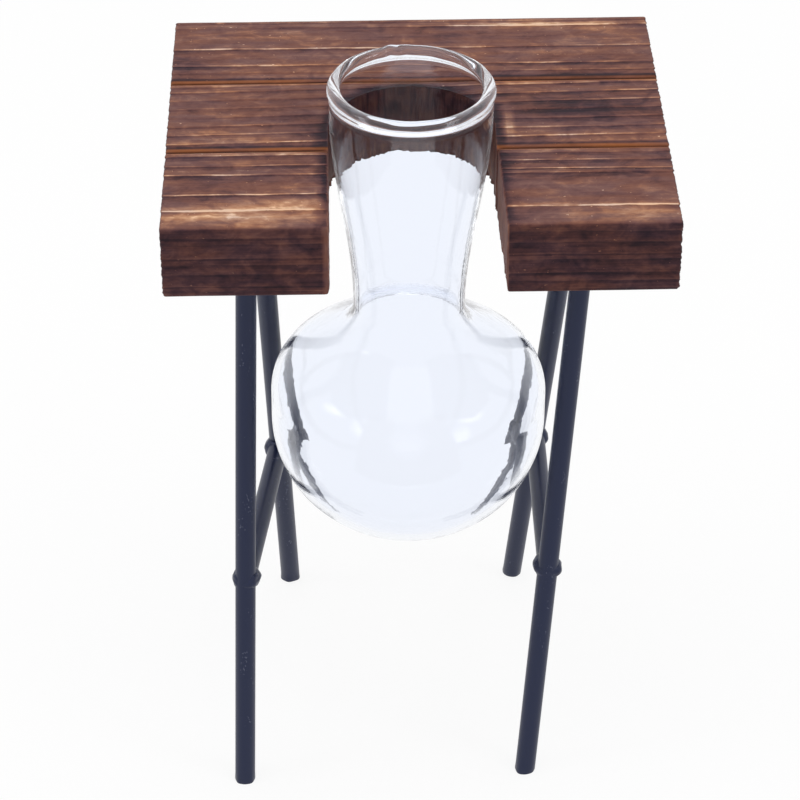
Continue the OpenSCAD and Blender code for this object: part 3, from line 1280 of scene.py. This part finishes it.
@dataclass
class LegFrame:
    """The four legs, the two stretchers and the welds between them, of one round bar."""

    LEGS = ("front_left", "front_right", "back_left", "back_right")
    SIDES = ("left", "right")

    finish: PaintFinish = field(default_factory=PaintFinish)
    bar_r: float = 2.6 * MM
    foot_ease: float = 0.2 * MM
    burr: float = 0.3 * MM
    weld_r: float = 3.7 * MM
    weld_shift: float = 0.9 * MM
    weld_lumps: float = 0.55 * MM
    weld_throat: float = 0.6 * MM
    sides_round: int = 64
    cuts_along: int = 60

    @staticmethod
    def ends(node: str) -> tuple[Vector, Vector]:
        """Find the middle of a leg at its foot and near its top from its CAD node.

        Args:
            node: The leg's node.

        Returns:
            The middle of the foot and the middle of the top end.
        """
        places = [vertex.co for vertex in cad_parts[node].data.vertices]
        low = min(place.z for place in places)
        foot = [place for place in places if place.z < low + 0.05 * MM]
        rest = [place for place in places if place.z > low + 10 * MM]
        return middle_of(foot), middle_of(rest)

    def bar(self, name: str, start: Vector, end: Vector) -> Object:
        """Lay a round bar between two points.

        Args:
            name: The piece's name.
            start: The middle of one end.
            end: The middle of the other end.

        Returns:
            The bar, cut into short steps along its length.
        """
        run = end - start
        turn = run.to_track_quat("Z", "Y").to_euler()
        deselect_all()
        bpy.ops.mesh.primitive_cylinder_add(vertices=self.sides_round, radius=self.bar_r, depth=run.length,
                                            location=(start + end) / 2, rotation=turn)
        piece = take_primitive(name)
        half = run.length / 2
        with editing(piece, Element.EDGE):
            pick_edges(piece, lambda a, b: (a - b).length > half)
            bpy.ops.mesh.subdivide(number_cuts=self.cuts_along)
        return piece

    def leg(self, name: str, paint: Material) -> None:
        """Build a leg with the burr of its cut foot.

        Args:
            name: Which leg it is.
            paint: The finish.
        """
        node = f"{name}_leg"
        foot, top = self.ends(node)
        run = top - foot
        piece = self.bar(f"{node}_bar", foot - run * 0.04, top)
        with editing(piece, Element.EDGE):
            bpy.ops.mesh.select_all(action="SELECT")
            bpy.ops.mesh.bisect(plane_co=foot, plane_no=(0, 0, 1), clear_inner=True, use_fill=True)
            small = 0.02 * MM
            pick_edges(piece, lambda a, b: abs(a.z) < small and abs(b.z) < small)
            bpy.ops.mesh.bevel(offset=self.foot_ease, segments=3, affect="EDGES")
        for vertex in piece.data.vertices:
            place = vertex.co
            outward = Vector((place.x - foot.x, place.y - foot.y, 0)).normalized()
            torn = clamp(0.3 + ripple(place, (2, 2, 9), foot.x / MM))
            vertex.co += outward * self.burr * torn * ease((self.burr * 2.5 - place.z) / (self.burr * 2))
        hand_over(piece, 50, STAND, Slot.PAINT, node, paint)

    def on_leg(self, name: str, height: float) -> Vector:
        """Return the middle of a leg at a height."""
        foot, top = self.ends(f"{name}_leg")
        return foot + (top - foot) * ((height - foot.z) / (top.z - foot.z))

    def stretcher(self, side: str, paint: Material) -> None:
        """Lay the bar that runs from a front leg to the leg behind it.

        Args:
            side: Which side of the stand it is on.
            paint: The finish.
        """
        node = f"{side}_stretcher"
        low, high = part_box(node)
        height = (low.z + high.z) / 2
        piece = self.bar(f"{node}_bar", self.on_leg(f"front_{side}", height),
                         self.on_leg(f"back_{side}", height))
        hand_over(piece, 50, STAND, Slot.PAINT, node, paint)

    def weld(self, end: str, side: str, paint: Material) -> None:
        """Build the lumpy bead where a stretcher is welded to a leg.

        Args:
            end: Whether it is the front or the back leg.
            side: Which side of the stand it is on.
            paint: The finish.
        """
        node = f"{end}_{side}_weld"
        low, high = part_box(node)
        middle = self.on_leg(f"{end}_{side}", (low.z + high.z) / 2)
        other = self.on_leg(f"{'back' if end == 'front' else 'front'}_{side}", middle.z)
        run = (other - middle).normalized()
        deselect_all()
        bpy.ops.mesh.primitive_uv_sphere_add(segments=48, ring_count=32, radius=self.weld_r,
                                             location=middle + run * self.weld_shift)
        piece = take_primitive(f"{node}_bead")
        for vertex in piece.data.vertices:
            out = (vertex.co - middle).normalized()
            forward = max(0.0, out.dot(run))
            lump = self.weld_lumps * ripple(vertex.co, (3.2, 3.2, 2.4), middle.x / MM)
            lump += 0.3 * self.weld_lumps * ripple(vertex.co, (1.1, 1.1, 0.9), middle.y / MM)
            sag = self.weld_lumps * (1 - forward) * abs(out.z)
            vertex.co += out * (lump - sag + self.weld_throat * forward * forward)
        hand_over(piece, 80, STAND, Slot.PAINT, node, paint)

    def make(self) -> None:
        """Build the frame."""
        paint = self.finish.make()
        for name in self.LEGS:
            self.leg(name, paint)
        for side in self.SIDES:
            self.stretcher(side, paint)
            self.weld("front", side, paint)
            self.weld("back", side, paint)


@dataclass(frozen=True)
class SoftBox:
    """A soft lamp, with its place, its size and its brightness beside white."""

    place: Triple
    size: float
    radiance: float
    aim: Triple = (0.0, 0.0, 0.11)

    def hang(self, shape: str) -> None:
        """Add the lamp to the scene.

        Args:
            shape: The outline of its face.
        """
        deselect_all()
        bpy.ops.object.light_add(type="AREA", location=self.place)
        lamp = bpy.context.active_object
        face = math.pi / 4 * self.size ** 2 if shape == "DISK" else self.size ** 2
        lamp.data.shape = shape
        lamp.data.size = self.size
        lamp.data.energy = self.radiance * math.pi * face
        if shape == "SQUARE":
            self.soften(lamp.data)
        lamp.rotation_euler = (Vector(self.aim) - lamp.location).to_track_quat("-Z", "Y").to_euler()

    def soften(self, lamp: bpy.types.AreaLight) -> None:
        """Let the lamp fade towards the edge of its face, so that its reflections have soft outlines.

        Args:
            lamp: The lamp's data.
        """
        lamp.use_nodes = True
        nodes = Nodes(lamp.node_tree)
        face = nodes.add("ShaderNodeNewGeometry").outputs["Parametric"]
        away = nodes.add("ShaderNodeVectorMath", {0: face, 1: (0.5, 0.5, 0.0)}, operation="DISTANCE")
        fade = nodes.add("ShaderNodeMapRange",
                         {"Value": away.outputs["Value"], "From Min": 0.5, "From Max": 0.1},
                         interpolation_type="SMOOTHSTEP")
        nodes.feed(nodes.find("EMISSION"), {"Strength": fade.outputs[0]})


@dataclass
class Studio:
    """White floor and surroundings, soft lamps and the camera.

    The eye's place is in millimetres from the middle of the board's top face.
    """

    floor_r: float = 2.5
    floor_glow: float = 0.87
    floor_grey: float = 0.6
    floor_drop: float = 0.02 * MM
    world_light: float = 0.7
    bounces: int = 160
    ceiling: SoftBox = SoftBox((0.0, 0.1, 1.8), 1.8, 0.9)
    sides: tuple[SoftBox, ...] = (SoftBox((-0.56, -0.08, 0.65), 0.36, 4.8),
                                  SoftBox((0.52, -0.24, 0.66), 0.36, 4.8))
    lens: float = 137.29
    film_width: float = 36
    nearest: float = 0.01
    yaw: float = math.radians(1.091)
    pitch: float = math.radians(35.0)
    roll: float = math.radians(0.257)
    eye: Triple = (-16.39, -641.61, 365.86)

    def seen(self, nodes: Nodes) -> NodeSocket:
        """Tell the rays that show the background from those that only light the object.

        Args:
            nodes: The builder of the tree that asks.

        Returns:
            1 for camera, glossy and transmission rays.
        """
        path = nodes.add("ShaderNodeLightPath")
        seen = nodes.math("MAXIMUM", path.outputs["Is Camera Ray"], path.outputs["Is Glossy Ray"])
        return nodes.math("MAXIMUM", seen, path.outputs["Is Transmission Ray"])

    def world(self) -> None:
        """Make the surroundings white to the eye and softer as a light."""
        world = bpy.data.worlds.new("studio")
        world.use_nodes = True
        bpy.context.scene.world = world
        nodes = Nodes(world.node_tree)
        strength = nodes.math("MULTIPLY_ADD", self.seen(nodes), 1 - self.world_light, self.world_light)
        nodes.feed(nodes.find("BACKGROUND"), {"Color": (1, 1, 1, 1), "Strength": strength})

    def floor(self) -> None:
        """Lay a white floor that keeps a pale shadow and isn't seen from below."""
        deselect_all()
        bpy.ops.mesh.primitive_circle_add(vertices=96, radius=self.floor_r, fill_type="NGON",
                                          location=(0, 0, -self.floor_drop))
        floor = take_primitive("floor")
        material, nodes, shader = new_material("floor")
        seen = self.seen(nodes)
        white = nodes.math("MULTIPLY_ADD", seen, 1 - self.floor_grey, self.floor_grey)
        nodes.feed(shader, {"Base Color": white, "Roughness": 1.0, "Specular IOR Level": 0.0})
        glow = nodes.add("ShaderNodeEmission", {"Color": (1, 1, 1, 1), "Strength": 1.0})
        share = nodes.math("MULTIPLY", seen, self.floor_glow)
        lit = nodes.add("ShaderNodeMixShader", {0: share, 1: shader.outputs[0], 2: glow.outputs[0]})
        clear = nodes.add("ShaderNodeBsdfTransparent")
        below = nodes.add("ShaderNodeNewGeometry").outputs["Backfacing"]
        both = nodes.add("ShaderNodeMixShader", {0: below, 1: lit.outputs[0], 2: clear.outputs[0]})
        nodes.feed(nodes.find("OUTPUT_MATERIAL"), {"Surface": both.outputs[0]})
        floor.data.materials.append(material)

    def lamps(self) -> None:
        """Hang a large soft lamp over the object and a small one on each side."""
        self.ceiling.hang("DISK")
        for box in self.sides:
            box.hang("SQUARE")

    def camera(self) -> None:
        """Place the camera at the photograph's viewing angle."""
        sin_y, cos_y = math.sin(self.yaw), math.cos(self.yaw)
        sin_p, cos_p = math.sin(self.pitch), math.cos(self.pitch)
        sin_r, cos_r = math.sin(self.roll), math.cos(self.roll)
        ahead = Vector((sin_y * cos_p, cos_y * cos_p, -sin_p))
        right = Vector((cos_y, -sin_y, 0))
        down = ahead.cross(right)
        turned_right = right * cos_r + down * sin_r
        turned_down = down * cos_r - right * sin_r
        deselect_all()
        bpy.ops.object.camera_add()
        camera = bpy.context.active_object
        turn = Matrix((turned_right, -turned_down, -ahead)).transposed().to_4x4()
        eye = Vector(self.eye) * MM + Vector((0, 0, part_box(Board.BACK)[1].z))
        camera.matrix_world = Matrix.Translation(eye) @ turn
        camera.data.lens = self.lens
        camera.data.sensor_width = self.film_width
        camera.data.clip_start = self.nearest
        bpy.context.scene.camera = camera

    def make(self) -> None:
        """Build the studio, with enough bounces for light that runs along inside the glass."""
        scene = bpy.context.scene
        scene.view_settings.view_transform = "Standard"
        for kind in ("max", "glossy", "transmission"):
            setattr(scene.cycles, f"{kind}_bounces", self.bounces)
        self.world()
        self.floor()
        self.lamps()
        self.camera()


def main() -> None:
    """Build every piece in order."""
    logging.basicConfig(level=logging.INFO, format="%(message)s")
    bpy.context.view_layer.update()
    Studio().make()
    Board().make()
    BlownVase().make()
    LegFrame().make()


if __name__ == "__main__":
    main()
